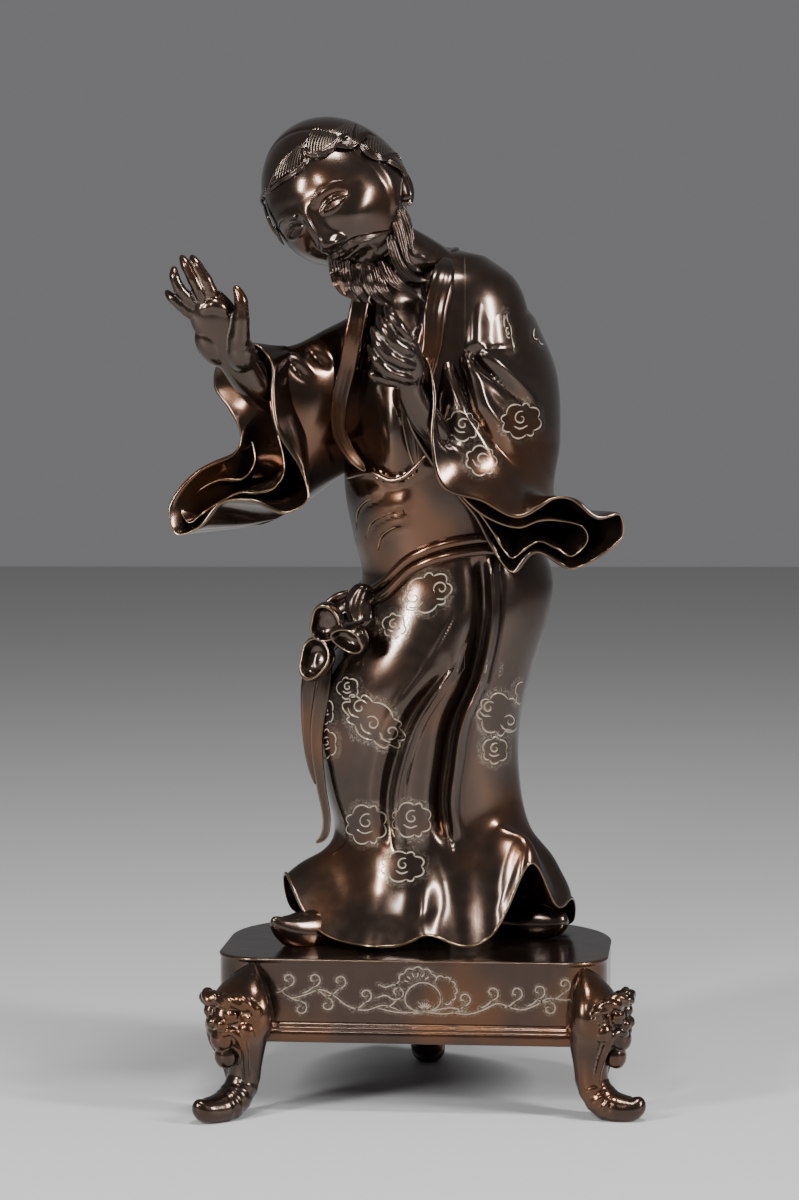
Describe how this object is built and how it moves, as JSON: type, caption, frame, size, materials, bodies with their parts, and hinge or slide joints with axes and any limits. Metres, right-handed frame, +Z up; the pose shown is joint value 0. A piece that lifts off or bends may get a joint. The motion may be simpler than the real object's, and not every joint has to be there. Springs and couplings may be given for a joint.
{
  "type": "immortal figure",
  "caption": "Cast bronze bearded immortal in flowing engraved robes, leaning with one hand raised, on a low footed stand.",
  "frame": {"origin": "below the middle of the object's box, on the surface it stands on", "axes": "+Z up, -Y towards the side the figure faces, +X to the right as seen from in front"},
  "size_m": [0.259, 0.1926, 0.5379],
  "materials": {
    "figure_bronze": "polished dark brown patina on cast bronze",
    "stand_bronze": "dark brown patina on cast bronze, drier on the legs"
  },
  "bodies": {
    "root": {"figure": "figure_bronze", "stand": "stand_bronze"}
  },
  "joints": []
}
